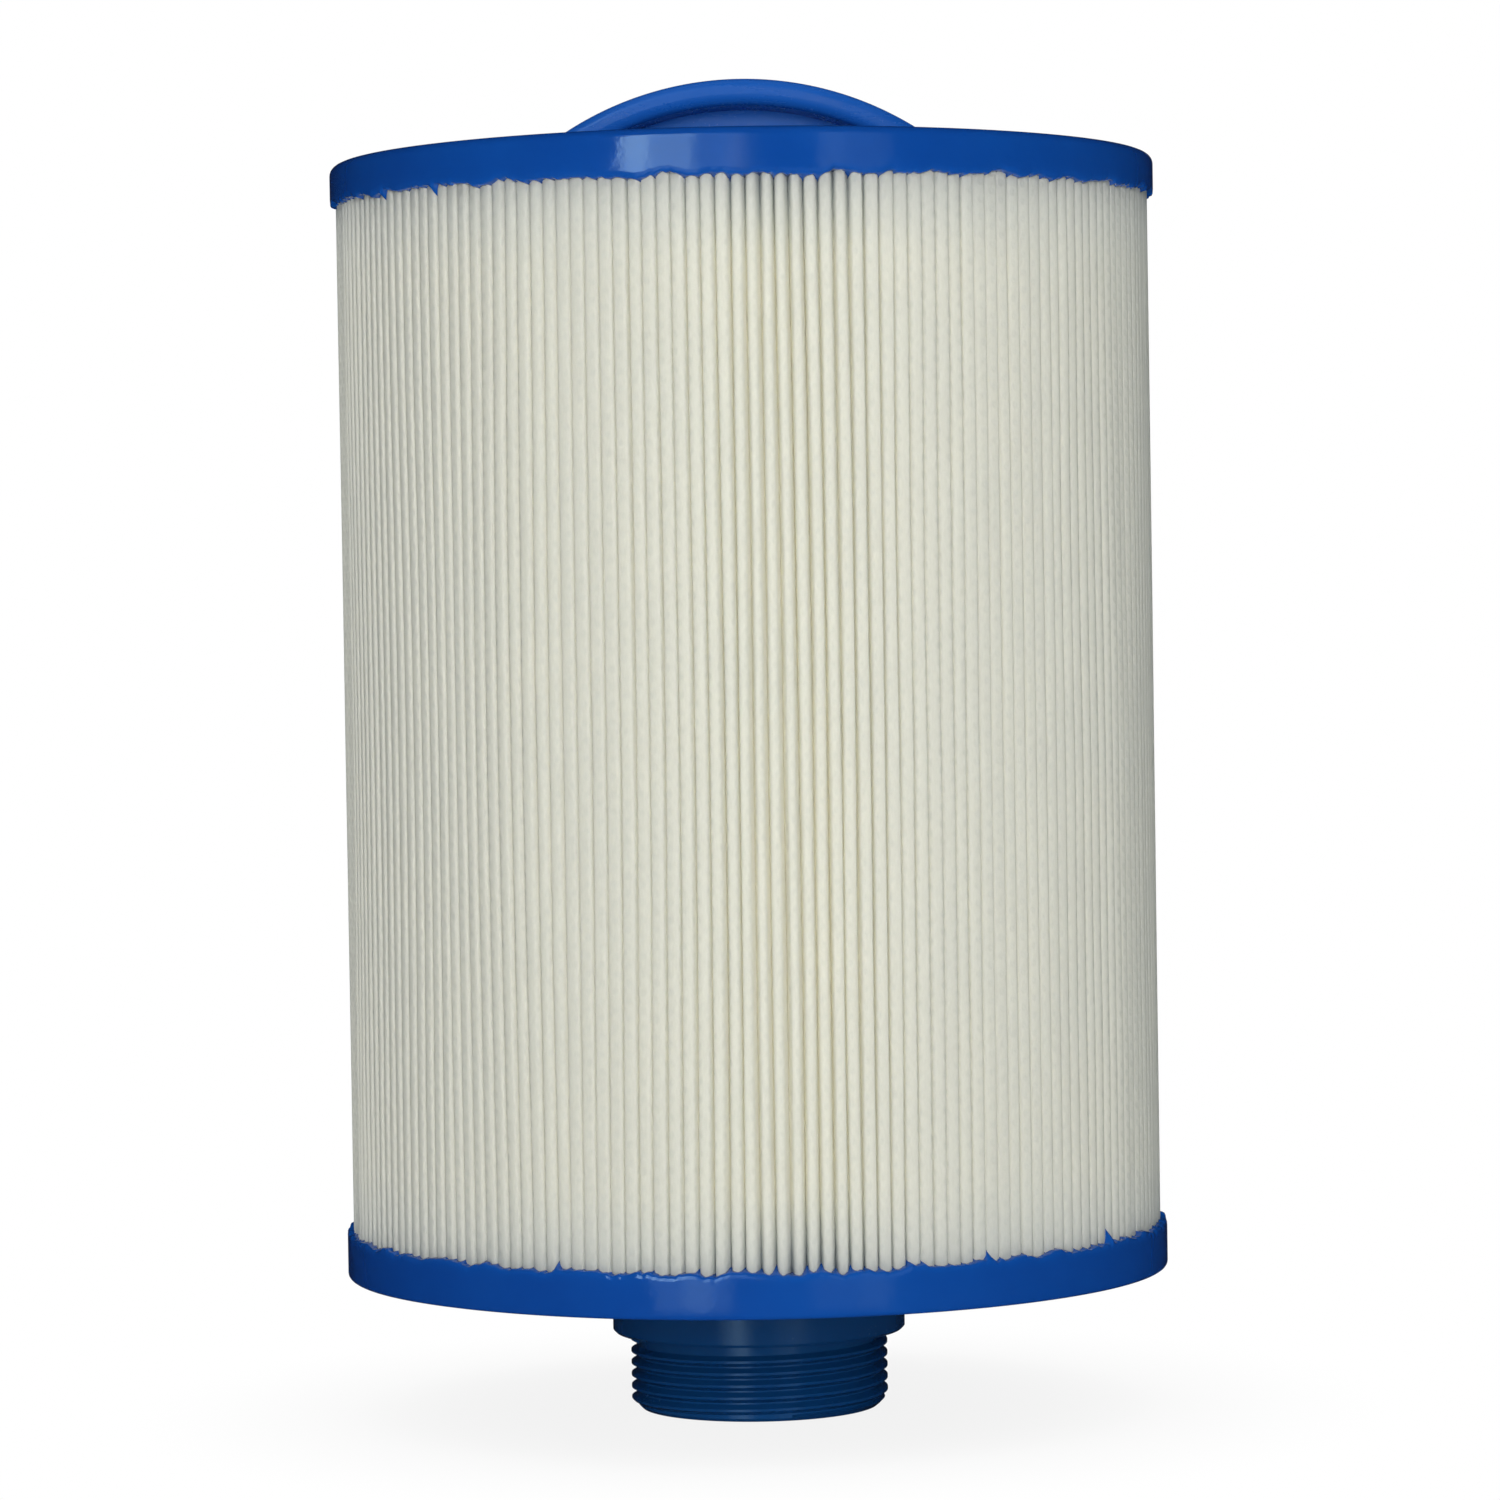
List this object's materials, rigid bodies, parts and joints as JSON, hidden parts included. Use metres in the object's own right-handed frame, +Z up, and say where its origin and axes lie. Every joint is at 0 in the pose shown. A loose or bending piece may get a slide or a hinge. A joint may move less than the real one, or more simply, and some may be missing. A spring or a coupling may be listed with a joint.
{
  "type": "pleated filter cartridge",
  "caption": "Round pleated water-filter cartridge with cast end caps, a perforated core, a handle recessed over a finger cup, and a threaded outlet nipple underneath.",
  "frame": {"origin": "on the cartridge's axis, in the plane of the adapter's shoulder, which stops against the fitting when the thread is home", "axes": "+Z up along the cartridge's axis, from the threaded adapter towards the handle; +X towards the glued seam and along the handle's arch; +Y completes the right-handed frame"},
  "size_m": [0.1524, 0.1524, 0.2455],
  "materials": {
    "filter_sheet": "white spunbond polyester sheet with a small embossed bond pattern",
    "seam_glue": "milky hot-melt glue",
    "core_plastic": "white moulded polypropylene",
    "moulded_blue": "blue injection-moulded plastic with a satin gloss",
    "cast_resin": "navy blue cast polyurethane, glossy, wicked up between the pleats"
  },
  "bodies": {
    "root": {"pleated_media": "filter_sheet", "seam_bead": "seam_glue", "core_section_lower": "core_plastic", "core_section_middle": "core_plastic", "core_section_upper": "core_plastic", "handle_insert": "moulded_blue", "threaded_adapter": "moulded_blue", "top_cap": "cast_resin", "bottom_cap": "cast_resin"}
  },
  "joints": []
}
